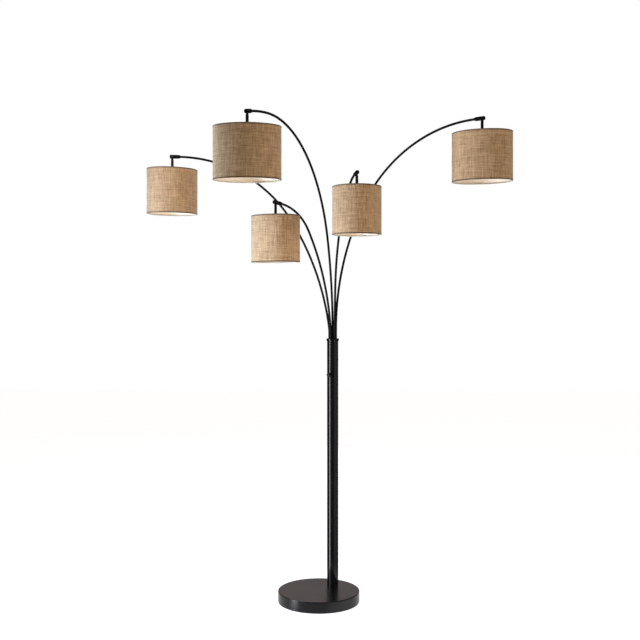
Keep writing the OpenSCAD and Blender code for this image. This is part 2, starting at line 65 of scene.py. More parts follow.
# The second colours of the finishes: what shows in their spots, scuffs and thin places.
LINER_TRACE = (0.80, 0.68, 0.54, 1.0)
RUST = (0.10, 0.045, 0.022, 1.0)
PALE_FELT = (0.05, 0.048, 0.047, 1.0)
LINT = (0.16, 0.155, 0.15, 1.0)
WARM_COATING = (0.80, 0.77, 0.70, 1.0)
WIRE_COAT_THIN = (0.62, 0.585, 0.52, 1.0)
WIRE_COAT = (0.80, 0.78, 0.73, 1.0)
SCUFFED_RUBBER = (0.05, 0.05, 0.05, 1.0)
SCUFFED_PLASTIC = (0.06, 0.058, 0.055, 1.0)
KNOB_BLACK = (0.006, 0.0055, 0.0055, 1.0)
SCUFFED_KNOB = (0.03, 0.027, 0.025, 1.0)

# Room between a rim wire and the linen folded round it.
WIRE_ROOM = 0.0001
# How far above a hem the wall's evenly spaced points begin.
HEM_LEAD = 0.0016
# How far apart on the bolt of linen one shade and the next were cut, along and across.
BOLT_STEP = (1.37, 0.61)
# Points round a shade, and round a turned piece.
ROUND_SHADE = 236
ROUND_PIECE = 96


# Sizes and colours.

def length(name, description, default):
    return bpy.props.FloatProperty(
        name=name, description=description, default=default, unit="LENGTH", subtype="DISTANCE",
        precision=5)


def colour(name, description, default):
    return bpy.props.FloatVectorProperty(
        name=name, description=description, default=default, size=4, subtype="COLOR",
        min=0.0, max=1.0)


class LampShadeSizes(bpy.types.PropertyGroup):
    long: length("Length", "The oval's long diameter", 0.254)
    wide: length("Width", "The oval's short diameter", 0.203)
    tall: length("Height", "From the lower rim to the upper rim", 0.200)
    end_r: length("End radius", "Radius of the oval's two end arcs", 0.084)
    drop: length("Drop", "From the knuckle's pin down to the upper rim", 0.056)
    cloth: length("Cloth", "Thickness of the linen", 0.0005)
    liner: length("Liner", "Thickness of the stiff white liner", 0.0007)
    hem_h: length("Hem height", "Height of the folded band at each rim", 0.0056)
    hem_t: length("Hem step", "How far the folded band stands out from the wall", 0.0005)
    wire_in: length("Wire inset", "From the outside to the middle of the rim wire", 0.00325)
    wire_z: length("Wire height", "From the rim to the middle of the rim wire", 0.0025)
    wire_r: length("Wire radius", "Radius of the rim wire", 0.0015)
    turned_in: length("Turned in", "Linen beyond each rim, folded round the wire", 0.0125)
    lap: length("Lap", "Width of the linen's glued lap at the back", 0.010)
    lap_t: length("Lap step", "How far the lap's edge stands out", 0.0004)
    thread: length("Thread pitch", "From one thread of the weave to the next", 0.00115)


class LampBulbSizes(bpy.types.PropertyGroup):
    wide: length("Diameter", "Widest diameter of the glass", 0.060)
    tall: length("Length", "From the contact to the end of the glass", 0.110)
    neck: length("Neck", "Diameter of the glass where it meets the cap", 0.0279)
    cap_wide: length("Cap diameter", "Over the crests of the cap's thread", 0.0264)
    cap_tall: length("Cap length", "From the contact to the glass", 0.026)
    pitch: length("Thread pitch", "Pitch of the cap's thread", 0.0036)
    top: length("Drop", "From the knuckle's pin down to the contact", 0.09915)


class LampColours(bpy.types.PropertyGroup):
    linen_light: colour("Light thread", "The palest flax of the linen", (0.60, 0.398, 0.224, 1.0))
    linen_dark: colour("Dark thread", "The darkest flax of the linen", (0.225, 0.128, 0.060, 1.0))
    # Partly a pale tape's own colour, partly painted light where strong light falls on the
    # rolled-in edge.
    tape_and_light: colour("Tape", "The pale tape on the edge that is rolled in", (0.40, 0.36, 0.29, 1.0))
    liner: colour("Liner", "The shades' warm white liner", (0.90, 0.785, 0.64, 1.0))
    bronze: colour("Bronze", "The near-black bronze paint", (0.0040, 0.0034, 0.0038, 1.0))
    bronze_warm: colour("Bronze flecks", "The paint's warm flecks", (0.020, 0.013, 0.010, 1.0))
    steel: colour("Zinc", "The zinc on nuts and screws", (0.55, 0.55, 0.53, 1.0))
    iron: colour("Iron", "The cast weight", (0.085, 0.08, 0.078, 1.0))
    black: colour("Black", "Black plastic and rubber", (0.014, 0.014, 0.015, 1.0))
    felt: colour("Felt", "The pad under the base", (0.022, 0.021, 0.022, 1.0))
    glass: colour("Opal glass", "The bulbs' milky glass", (0.88, 0.87, 0.83, 1.0))


class LampStage(bpy.types.PropertyGroup):
    camera: bpy.props.FloatVectorProperty(
        name="Camera", description="Where the camera stands", default=(0.0057, -4.390, 1.373),
        size=3, unit="LENGTH", subtype="TRANSLATION")
    lens: bpy.props.FloatProperty(
        name="Lens", description="Focal length in millimetres on a 36 mm sensor", default=56.25)
    rise: bpy.props.FloatProperty(
        name="Shift", description="The camera's upward shift, as a share of the picture",
        default=-0.05)
    key: bpy.props.FloatProperty(
        name="Key", description="Power of the soft light on the left", default=80.0)
    fill: bpy.props.FloatProperty(
        name="Fill", description="Power of the soft light on the right", default=174.0)
    card: bpy.props.FloatProperty(
        name="Card", description="Power of the soft light that the floor sends up", default=21.5)
    back: bpy.props.FloatProperty(
        name="Back", description="Power of the soft light behind the lamp", default=45.0)
    over: bpy.props.FloatProperty(
        name="Over", description="Power of the soft light above the lamp", default=13.5)
    strip: bpy.props.FloatProperty(
        name="Strip", description="Power of the narrow light that metal mirrors", default=30.0)
    air: bpy.props.FloatProperty(
        name="Air", description="Strength of the even light from all sides", default=0.34)
    floor: colour("Floor", "The pale floor", (0.80, 0.80, 0.80, 1.0))


# Shader maths.

class Value:
    """A number that a node gives, which Python's operators turn into Math nodes."""

    def __init__(self, finish, socket):
        self.finish = finish
        self.socket = socket

    def maths(self, operation, *numbers):
        return self.finish.value("Math", {"operation": operation}, dict(enumerate(numbers)))

    def __add__(self, other):
        return self.maths("ADD", self, other)

    def __sub__(self, other):
        return self.maths("SUBTRACT", self, other)

    def __mul__(self, other):
        return self.maths("MULTIPLY", self, other)

    def __truediv__(self, other):
        return self.maths("DIVIDE", self, other)

    def __rsub__(self, other):
        return self.maths("SUBTRACT", other, self)

    def __rtruediv__(self, other):
        return self.maths("DIVIDE", other, self)

    __radd__ = __add__
    __rmul__ = __mul__

    def sine(self):
        return self.maths("SINE", self)

    def size(self):
        return self.maths("ABSOLUTE", self)

    def floor(self):
        return self.maths("FLOOR", self)

    def larger(self, other):
        return self.maths("MAXIMUM", self, other)

    def clamped(self):
        """Kept between 0 and 1."""
        return self.ramp(0.0, 1.0)

    def ramp(self, low, high):
        """0 below low, 1 above high, and straight between."""
        return self.finish.value(
            "MapRange", {"clamp": True}, {0: self, 1: low, 2: high, 3: 0.0, 4: 1.0})


class Finish:
    """A node tree that is filled one node at a time."""

    def __init__(self, tree):
        self.tree = tree
        self.tree.nodes.clear()

    def node(self, kind, settings=None, sockets=None):
        """Adds a node: its settings first, then each socket's value or link."""
        node = self.tree.nodes.new("ShaderNode" + kind)
        for name, value in (settings or {}).items():
            setattr(node, name, value)
        for name, value in (sockets or {}).items():
            if isinstance(value, Value):
                value = value.socket
            if isinstance(value, bpy.types.NodeSocket):
                self.tree.links.new(value, node.inputs[name])
            else:
                node.inputs[name].default_value = value
        return node

    def value(self, kind, settings=None, sockets=None, output=0):
        return Value(self, self.node(kind, settings, sockets).outputs[output])

    def object_place(self):
        return self.node("TexCoord").outputs["Object"]

    def noise(self, place, scale, detail=2.0, rough=0.5):
        """Cloudy noise whose clouds are about 1/scale of a metre along each axis."""
        if not isinstance(scale, tuple):
            scale = (scale,) * 3
        stretched = self.node("Mapping", {}, {"Vector": place, "Scale": scale}).outputs[0]
        return self.value("TexNoise", {"noise_dimensions": "3D"}, {
            "Vector": stretched, "Scale": 1.0, "Detail": detail, "Roughness": rough})

    def mix(self, share, first, second, blend="MIX"):
        """A colour between two others, or one blended over the other."""
        return self.node("Mix", {"data_type": "RGBA", "blend_type": blend}, {
            0: share, 6: first, 7: second}).outputs[2]

    def bump(self, height, distance, strength=1.0):
        return self.node("Bump", {}, {
            "Height": height, "Distance": distance, "Strength": strength}).outputs[0]

    def surface(self, **sockets):
        """A Principled surface; underscores in the names stand for spaces."""
        shader = self.node("BsdfPrincipled", {}, {
            name.replace("_", " "): value for name, value in sockets.items()})
        self.node("OutputMaterial", {}, {"Surface": shader.outputs[0]})


def new_finish(name):
    material = bpy.data.materials.new(name)
    material.use_nodes = True
    return material, Finish(material.node_tree)


def bronze_paint(name, tones, rough=0.13, gloss=0.30, grain=0.000004):
    """Satin near-black paint: faint orange peel, tiny warm flecks of bronze, and hazier where
    it was wiped."""
    material, f = new_finish(name)
    place = f.object_place()
    haze = f.noise(place, 9.0, 4.0, 0.55)
    wiped = f.noise(place, (14.0, 14.0, 60.0), 3.0, 0.6)
    flecks = f.noise(place, 2600.0, 1.0, 0.5).ramp(0.64, 0.74)
    peel = f.noise(place, 420.0, 1.0, 0.4)
    f.surface(
        Base_Color=f.mix(flecks * 0.3, tones.bronze, tones.bronze_warm),
        Roughness=rough + (haze - 0.5) * 0.06 + (wiped - 0.5) * 0.05,
        Specular_IOR_Level=gloss,
        Normal=f.bump(peel, grain),
    )
    return material


def linen_cloth(name, tones, sizes):
    """Coarse plain weave, read from the cloth's own UV map in metres. Every thread has its own
    tone, thick slubs run along warp and weft, and the low places between threads are darker by
    painted shade. The doubled hems are darker and greyer, partly in their own colour and partly by
    painted shade, and the edge that is rolled in is paler, partly a pale tape and partly painted
    light."""
    material, f = new_finish(name)
    place = f.node("UVMap", {"uv_map": "cloth"}).outputs[0]
    split = f.node("SeparateXYZ", {}, {0: place})
    along, up = Value(f, split.outputs[0]), Value(f, split.outputs[1])
    turn = math.pi / sizes.thread
    # Uneven spinning moves the threads a little from their even places.
    drift = (f.noise(place, 70.0, 1.0) - 0.5) * (1.1 * sizes.thread)
    warp_at, weft_at = along + drift, up + drift
    warp_wave, weft_wave = (warp_at * turn).sine(), (weft_at * turn).sine()
    over = warp_wave * weft_wave * 0.5 + 0.5
    warp_round, weft_round = warp_wave.size(), weft_wave.size()
    weave = (warp_round * over).larger(weft_round * (1.0 - over))
    warp_tone = f.value("TexWhiteNoise", {"noise_dimensions": "1D"}, {
        "W": (warp_at / sizes.thread).floor()})
    weft_tone = f.value("TexWhiteNoise", {"noise_dimensions": "1D"}, {
        "W": (weft_at / sizes.thread).floor() + 0.37})
    warp_slub = f.noise(place, (420.0, 17.0, 1.0), 2.0, 0.55)
    weft_slub = f.noise(place, (19.0, 440.0, 1.0), 2.0, 0.55)
    warp_band = f.noise(place, (170.0, 9.0, 1.0), 3.0, 0.6)
    weft_band = f.noise(place, (10.0, 140.0, 1.0), 3.0, 0.6)
    blotch = f.noise(place, (26.0, 26.0, 1.0), 3.0, 0.5)
    # Each thread's thin stretches start at a place of its own.
    warp_own = f.node("CombineXYZ", {}, {0: along, 1: up + warp_tone}).outputs[0]
    weft_own = f.node("CombineXYZ", {}, {0: along + weft_tone, 1: up}).outputs[0]
    warp_thin = f.noise(warp_own, (640.0, 30.0, 1.0), 1.0).ramp(0.56, 0.68)
    weft_thin = f.noise(weft_own, (32.0, 660.0, 1.0), 1.0).ramp(0.56, 0.68)
    # The weave term lightens the threads' crests and darkens the low places between them: painted
    # shade.
    pale = (
        ((warp_tone - 0.5) * over + (weft_tone - 0.5) * (1.0 - over)) * 0.44
        + (warp_slub - 0.5) + (weft_slub - 0.5)
        + (warp_band - 0.5) * 1.1 + (weft_band - 0.5) * 0.95
        + (blotch - 0.5) * 0.40 + (weave - 0.62) * 0.85 + 0.67
        - warp_thin * 0.46 - weft_thin * 0.42
    ).clamped()
    tone = f.mix(pale, tones.linen_dark, tones.linen_light)
    # The hems are darkened: partly their own darker doubled linen, partly painted shade.
    hem = f.value("Attribute", {"attribute_name": "hem"}, {}, "Fac")
    tone = f.mix(hem, tone, HEM_CLOTH_AND_SHADE, "MULTIPLY")
    # The edge that is rolled in is paler: partly a pale tape, partly painted light.
    rolled = f.value("Attribute", {"attribute_name": "rolled"}, {}, "Fac")
    tone = f.mix(rolled, tone, tones.tape_and_light)
    height = weave + (warp_slub.ramp(0.55, 0.75) + weft_slub.ramp(0.55, 0.75)) * 0.5
    f.surface(
        Base_Color=tone,
        Roughness=0.86 + (weave - 0.5) * 0.10,
        Specular_IOR_Level=0.25,
        Sheen_Weight=0.28,
        Sheen_Roughness=0.45,
        Normal=f.bump(height, 0.00022, 0.8),
    )
    return material


def liner_sheet(name, tones):
    """Stiff white liner: an even cream white, fine-grained, with a faint trace of the weave."""
    material, f = new_finish(name)
    place = f.node("UVMap", {"uv_map": "cloth"}).outputs[0]
    trace = f.noise(place, (620.0, 60.0, 1.0), 2.0) + f.noise(place, (60.0, 620.0, 1.0), 2.0)
    grain = f.noise(place, 1900.0, 2.0)
    f.surface(
        Base_Color=f.mix((trace - 0.6) * 0.35, tones.liner, LINER_TRACE),
        Roughness=0.60 + (grain - 0.5) * 0.1,
        Specular_IOR_Level=0.25,
        Normal=f.bump(grain, 0.00002, 0.4),
    )
    return material


def zinc_plate(name, tones, dark=1.0):
    """Zinc on turned steel: fine turning lines and a dull, clouded shine."""
    material, f = new_finish(name)
    place = f.object_place()
    cloud = f.noise(place, 120.0, 4.0, 0.6)
    lines = f.noise(place, (300.0, 300.0, 4200.0), 1.0)
    base = tuple(dark * part for part in tones.steel[:3]) + (1.0,)
    low = tuple(0.6 * dark * part for part in tones.steel[:3]) + (1.0,)
    f.surface(
        Base_Color=f.mix(cloud, low, base),
        Metallic=1.0,
        Roughness=0.34 + (cloud - 0.5) * 0.2,
        Normal=f.bump(lines, 0.00002, 0.5),
    )
    return material


def cast_iron(name, tones):
    """Rough sand-cast iron, pitted and a little rusty in its hollows."""
    material, f = new_finish(name)
    place = f.object_place()
    sand = f.noise(place, 700.0, 3.0, 0.6)
    rust = f.noise(place, 30.0, 5.0, 0.6).ramp(0.55, 0.8)
    f.surface(
        Base_Color=f.mix(rust * 0.5, tones.iron, RUST),
        Metallic=0.35,
        Roughness=0.72 + (sand - 0.5) * 0.2,
        Normal=f.bump(sand, 0.0003, 0.6),
    )
    return material


def felt_pad(name, tones):
    """Pressed black felt: short fibres in all directions and a trace of pale lint."""
    material, f = new_finish(name)
    place = f.object_place()
    fibre = f.noise(place, (900.0, 2400.0, 900.0), 3.0, 0.7)
    other = f.noise(place, (2400.0, 900.0, 900.0), 3.0, 0.7)
    lint = f.noise(place, 1500.0, 1.0).ramp(0.7, 0.76)
    tone = f.mix(fibre * other, tones.felt, PALE_FELT)
    f.surface(
        Base_Color=f.mix(lint * 0.4, tone, LINT),
        Roughness=0.95,
        Specular_IOR_Level=0.1,
        Sheen_Weight=0.25,
        Sheen_Roughness=0.6,
        Normal=f.bump(fibre + other, 0.0003, 0.7),
    )
    return material


def moulded(name, base, pale, rough, gloss=0.4, grain=0.00003):
    """Moulded plastic or rubber: fine spark-eroded grain with a few paler scuffs."""
    material, f = new_finish(name)
    place = f.object_place()
    texture = f.noise(place, 1800.0, 2.0, 0.6)
    scuffs = f.noise(place, (60.0, 700.0, 220.0), 3.0, 0.6).ramp(0.62, 0.8)
    f.surface(
        Base_Color=f.mix(scuffs * 0.35, base, pale),
        Roughness=rough + (texture - 0.5) * 0.12 + scuffs * 0.1,
        Specular_IOR_Level=gloss,
        Normal=f.bump(texture, grain, 0.7),
    )
    return material


def opal_glass(name, tones):
    """Milky glass: even white with a slightly warmer, uneven inner coating."""
    material, f = new_finish(name)
    place = f.object_place()
    coat = f.noise(place, 60.0, 3.0)
    f.surface(
        Base_Color=f.mix(coat * 0.5, tones.glass, WARM_COATING),
        Roughness=0.16 + (coat - 0.5) * 0.08,
        Specular_IOR_Level=0.5,
        Coat_Weight=0.3,
        Coat_Roughness=0.08,
        Normal=f.bump(coat, 0.0001, 0.15),
    )
    return material


def coated_wire(name):
    """White coated wire: an uneven, slightly yellowed coat with a faint orange peel."""
    material, f = new_finish(name)
    place = f.object_place()
    coat = f.noise(place, 90.0, 3.0, 0.6)
    peel = f.noise(place, 900.0, 1.0)
    f.surface(
        Base_Color=f.mix(coat, WIRE_COAT_THIN, WIRE_COAT),
        Roughness=0.36 + (coat - 0.5) * 0.18,
        Specular_IOR_Level=0.5,
        Normal=f.bump(peel, 0.00002, 0.4),
    )
    return material


# Surfaces.

def sheet_faces(rows, columns, rows_closed, columns_closed):
    """The quads between neighbouring points of a rows x columns grid, as indices, and the
    grid places of their corners before any wrapping."""
    r = np.arange(rows if rows_closed else rows - 1)
    c = np.arange(columns if columns_closed else columns - 1)
    row, column = (grid.ravel() for grid in np.meshgrid(r, c, indexing="ij"))
    steps = ((0, 0), (0, 1), (1, 1), (1, 0))
    corner_rows = np.stack([row + step[0] for step in steps], axis=1)
    corner_columns = np.stack([column + step[1] for step in steps], axis=1)
    faces = (corner_rows % rows) * columns + corner_columns % columns
    return faces, corner_rows, corner_columns


def mesh_piece(name, points, faces, corner_uv=None, marks=None, sharp=None):
    """An object with these points and quads, its UV map in metres, and named point values."""
    mesh = bpy.data.meshes.new(name)
    mesh.from_pydata(points.tolist(), [], faces.tolist())
    if corner_uv is not None:
        layer = mesh.uv_layers.new(name="cloth")
        layer.data.foreach_set("uv", corner_uv.astype(np.float32).ravel())
    for mark, values in (marks or {}).items():
        attribute = mesh.attributes.new(mark, "FLOAT", "POINT")
        attribute.data.foreach_set("value", values.astype(np.float32).ravel())
    mesh.update()
    mesh.shade_smooth()
    if sharp is not None:
        mesh.set_sharp_from_angle(angle=math.radians(sharp))
    piece = bpy.data.objects.new(name, mesh)
    bpy.context.scene.collection.objects.link(piece)
    return piece


def weld(piece):
    """Points on the axis of a turned piece become one, so that its poles are closed."""
    work = bmesh.new()
    work.from_mesh(piece.data)
    bmesh.ops.remove_doubles(work, verts=work.verts, dist=1e-7)
    work.to_mesh(piece.data)
    work.free()


def arc(centre, radius, start, end, count):
    """Points of a circle's arc between two angles in degrees, as (x, y) pairs."""
    angle = np.radians(np.linspace(start, end, count))
    way = np.stack([np.cos(angle), np.sin(angle)], axis=1)
    return np.array(centre) + radius * way


def straight(start, end, count):
    """Evenly spaced points from start to end, both included."""
    share = np.linspace(0.0, 1.0, count)[:, None]
    return (1 - share) * np.array(start) + share * np.array(end)


def travelled(path):
    """Distance along a line of points."""
    steps = np.linalg.norm(np.diff(path, axis=0), axis=1)
    return np.concatenate([[0.0], np.cumsum(steps)])


def finish_piece(piece, material, body, slot, *nodes):
    """Gives a new piece its material and its body, and hides the nodes it stands for. The slot is
    not used.
    """
    piece.data.materials.append(material)
    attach(piece, body)
    if nodes:
        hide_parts(*nodes)
    return piece


class Oval:
    """The shades' outline: two end arcs and two flatter side arcs that meet on one tangent.
    A point is given by the direction of its outward normal: on an end arc it is
    (+-(a - r), 0) + r n, on a side arc (0, -+s) + R n, where a is half the length, r the end
    radius, R = r + (a - r)/cos b, s = (a - r) tan b, and b is the normal where they meet."""

    def __init__(self, sizes):
        self.a, b, self.r = sizes.long / 2, sizes.wide / 2, sizes.end_r
        reach = self.a - self.r
        side = (self.a ** 2 + b ** 2 - 2 * self.a * self.r) / (2 * (b - self.r))
        self.meet = math.atan2(side - b, reach)
        self.side_r = self.r + reach / math.cos(self.meet)
        self.shift = reach * math.tan(self.meet)
        ends, sides = self.r * 2 * self.meet, self.side_r * (math.pi - 2 * self.meet)
        self.round = 2 * (ends + sides)
        self.knots = np.cumsum([-ends / 2, ends, sides, ends, sides])
        self.normals = np.cumsum([
            -self.meet, 2 * self.meet, math.pi - 2 * self.meet, 2 * self.meet,
            math.pi - 2 * self.meet])

    def normal_at(self, distance):
        """The normal's direction at a distance round the outline from its +x end."""
        start = self.knots[0]
        return np.interp((distance - start) % self.round + start, self.knots, self.normals)

    def distance_at(self, normal):
        start = self.normals[0]
        return float(np.interp((normal - start) % (2 * math.pi) + start, self.normals, self.knots))

    def points(self, normal, out):
        """Plan places, out metres outside the outline."""
        c, s = np.cos(normal), np.sin(normal)
        on_end = np.abs(c) > math.cos(self.meet)
        x = np.where(on_end, np.sign(c) * (self.a - self.r), 0.0)
        y = np.where(on_end, 0.0, -np.sign(s) * self.shift)
        radius = np.where(on_end, self.r, self.side_r) + out
        return x + radius * c, y + radius * s


def tucked_end(sizes, wrap):
    """Where the linen's rolled edge ends, behind the wire and against the liner."""
    behind = sizes.hem_t + sizes.cloth + sizes.liner + WIRE_ROOM
    return [[-behind, sizes.wire_z + 0.80 * wrap]]


def rim_outside(sizes):
    """Half of the linen's outside, from the wall down over the hem's edge, round the fold at the
    rim and the wire to where the cloth is tucked in behind it, as (out, height) pairs."""
    wall, edge_r, edge_drop = -sizes.hem_t, 0.00022, 0.0002
    fold_r, fold_z = 0.0022, 0.0002
    wire = (-sizes.wire_in, sizes.wire_z)
    wrap = sizes.wire_r + WIRE_ROOM + sizes.cloth
    return np.concatenate([
        [[wall, sizes.hem_h + HEM_LEAD], [wall, sizes.hem_h + edge_drop]],
        arc((-edge_r, sizes.hem_h - edge_drop), edge_r, 110.0, 0.0, 5),
        [[0.0, 0.75 * sizes.hem_h]],
        arc((-fold_r, fold_z + fold_r), fold_r, 0.0, -90.0, 9),
        arc(wire, wrap, -90.0, -300.0, 15),
        tucked_end(sizes, wrap),
    ])


def rim_inside(sizes):
    """The same half of the linen's inside, from the wall down to the tucked edge."""
    inner, below_edge = -sizes.hem_t - sizes.cloth, 0.001
    fold_at, fold_r = 0.0024, 0.0014
    wire = (-sizes.wire_in, sizes.wire_z)
    wrap = sizes.wire_r + WIRE_ROOM
    return np.concatenate([
        [[inner, sizes.hem_h + HEM_LEAD], [inner, sizes.hem_h - below_edge]],
        arc((-fold_at, fold_at), fold_r, 0.0, -90.0, 5),
        arc(wire, wrap, -100.0, -300.0, 11),
        tucked_end(sizes, wrap),
    ])


def around_oval(oval, distances, loop, step):
    """A closed profile carried round the oval: for distance s along the outline and profile
    point (out, height), x and y are the outline's point at s moved out by out plus the step
    that the lap adds there, and z is the height. Rows follow s and columns the profile."""
    normal = oval.normal_at(distances)[:, None]
    out = loop[:, 0][None, :] + step
    x, y = oval.points(normal, out)
    z = np.broadcast_to(loop[:, 1][None, :], x.shape)
    return np.stack([x, y, z], axis=2)


def stand_at(points, pin, turn, lift):
    """Local points turned about the vertical and moved to the hanger."""
    c, s = math.cos(turn), math.sin(turn)
    x, y, z = points[..., 0], points[..., 1], points[..., 2]
    return np.stack([pin[0] + c * x - s * y, pin[1] + s * x + c * y, pin[2] + lift + z], axis=-1)


def lap_step(distances, at, width, height):
    """How far a lap lifts the cloth: height times 3 t^2 - 2 t^3 over its width, and a sudden
    end, where t is the share of the width that is passed."""
    share = (distances - at) / width
    smooth = np.clip(share, 0.0, 1.0)
    rise = height * smooth * smooth * (3 - 2 * smooth)
    return np.where((share > 0) & (share < 1), rise, 0.0)


def wrapped_sheet(name, oval, distances, loop, step, spot, n, marks=None):
    """A closed profile carried round shade n, at its spot (pin, turn, lift). Its UV map is the
    way round and the way down the profile in metres, from another part of the bolt on each
    shade."""
    points = stand_at(around_oval(oval, distances, loop, step), *spot)
    rows, columns = points.shape[:2]
    faces, r, c = sheet_faces(rows, columns, True, True)
    around = np.append(distances, distances[0] + oval.round) + BOLT_STEP[0] * n
    down = travelled(np.vstack([loop, loop[:1]])) + BOLT_STEP[1] * n
    uv = np.stack([around[r[:, ::-1]], -down[c[:, ::-1]]], axis=2)
    marks = {mark: np.tile(where.astype(float), rows) for mark, where in (marks or {}).items()}
    return mesh_piece(name, points.reshape(-1, 3), faces[:, ::-1], uv, marks, 40.0)


class LAMP_OT_shades(bpy.types.Operator):
    """Linen on a stiff white liner, folded over the rim wires, for all five shades"""
    bl_idname = "lamp.shades"
    bl_label = "Shades"

    def execute(self, context):
        sizes, tones = context.scene.lamp_shade, context.scene.lamp_colours
        oval = Oval(sizes)
        cloth = linen_cloth("linen", tones, sizes)
        lining = liner_sheet("liner", tones)
        half_out, half_in = rim_outside(sizes), rim_inside(sizes)
        top = sizes.tall - sizes.hem_h
        middle = straight((0.0, sizes.hem_h + HEM_LEAD), (0.0, top - HEM_LEAD), 9)[1:-1]
        wall_out = middle[::-1] + [[-sizes.hem_t, 0.0]]
        wall_in = middle + [[-sizes.hem_t - sizes.cloth, 0.0]]
        upside_down = np.array([[0.0, sizes.tall]])
        top_out = upside_down + half_out * [[1.0, -1.0]]
        top_in = upside_down + half_in * [[1.0, -1.0]]
        loop = np.concatenate([
            wall_out, half_out, half_in[::-1][1:], wall_in, top_in, top_out[::-1][1:]])
        # The lap lifts the wall and, at each rim, the hem's points as far as its fold.
        lifted = 10
        outside = np.ones(len(loop))
        outside[len(wall_out) + lifted:-lifted] = 0.0
        # Points this close to a hem's edge are hem, and points this far inside the outline are
        # on the edge that is rolled in.
        slack, rolled_in = 0.0001, 0.0030
        marks = {
            "hem": (loop[:, 1] < sizes.hem_h + slack) | (loop[:, 1] > top - slack),
            "rolled": loop[:, 0] < -rolled_in,
        }
        back = -sizes.hem_t - sizes.cloth
        inner = back - sizes.liner
        # The liner stops this far from each rim, and its seam is beside the linen's lap.
        stop, seam_at, seam_width, seam_lift, levels = 0.0034, 0.02, 0.012, -0.0004, 6
        lining_loop = np.concatenate([
            straight((back, sizes.tall - stop), (back, stop), levels),
            straight((inner, stop), (inner, sizes.tall - stop), levels)])
        inside = np.repeat([0.0, 1.0], levels)
        lift = -sizes.drop - sizes.tall
        for n in range(1, COUNT + 1):
            turn = math.radians(LONG_AXES[n - 1])
            spot = (PINS[n - 1], turn, lift)
            # The laps are at the back, a little further round on each shade.
            lap_way = math.radians(96 + 7 * n)
            lap_at = oval.distance_at((lap_way - turn) % (2 * math.pi))
            even = np.linspace(0.0, oval.round, ROUND_SHADE, endpoint=False) + lap_at
            # Two rows close together make the lap's edge sharp.
            edge, close = lap_at + sizes.lap, 0.0002
            distances = np.sort(np.append(even, [edge - close, edge + close]))
            step = np.outer(lap_step(distances, lap_at, sizes.lap, sizes.lap_t), outside)
            piece = wrapped_sheet(
                f"shade_linen_{n}", oval, distances, loop, step, spot, n, marks)
            finish_piece(piece, cloth, f"shade_{n}_body", "linen", f"shade_{n}")
            oval.round + sizes.lap

            seam = lap_step(distances, lap_at + seam_at, seam_width, seam_lift)
            piece = wrapped_sheet(
                f"shade_liner_{n}", oval, distances, lining_loop, np.outer(seam, inside), spot, n)
            finish_piece(piece, lining, f"shade_{n}_body", "linen")
        return {"FINISHED"}


def turned(name, profile, place, count=ROUND_PIECE, sharp=35.0):
    """A profile of (radius, height) pairs turned about the vertical through a place: at angle
    t a point is at radius times (cos t, sin t), at its own height."""
    angle = np.linspace(0.0, 2 * math.pi, count, endpoint=False)[:, None]
    x = place[0] + profile[:, 0][None, :] * np.cos(angle)
    y = place[1] + profile[:, 0][None, :] * np.sin(angle)
    z = np.broadcast_to(place[2] + profile[:, 1][None, :], x.shape)
    faces, _, _ = sheet_faces(count, len(profile), True, False)
    piece = mesh_piece(name, np.stack([x, y, z], axis=2).reshape(-1, 3), faces, None, None, sharp)
    weld(piece)
    return piece


def threaded(name, place, low, high, crest, depth, pitch):
    """A screw thread: at angle t and height z the radius is the crest less the depth times
    half of 1 + cos(2 pi z/pitch - t), and the thread fades out over the last half turn at each
    end. Flat lids close the piece, so that it is one solid skin."""
    rows_in_turn = 12
    rows = int((high - low) / pitch * rows_in_turn) + 1
    z = np.linspace(low, high, rows)[None, :]
    angle = np.linspace(0.0, 2 * math.pi, ROUND_PIECE, endpoint=False)[:, None]
    fade = np.clip(np.minimum(z - low, high - z) / (0.5 * pitch), 0.0, 1.0)
    radius = crest - depth * (1 - fade * (0.5 - 0.5 * np.cos(2 * math.pi * z / pitch - angle)))
    lid = np.zeros_like(angle)
    radius = np.concatenate([lid, radius, lid], axis=1)
    height = np.concatenate([[low], z[0], [high]])[None, :] + 0.0 * angle
    x, y = place[0] + radius * np.cos(angle), place[1] + radius * np.sin(angle)
    faces, _, _ = sheet_faces(ROUND_PIECE, rows + 2, True, False)
    piece = mesh_piece(
        name, np.stack([x, y, place[2] + height], axis=2).reshape(-1, 3), faces, None, None, 50.0)
    weld(piece)
    return piece


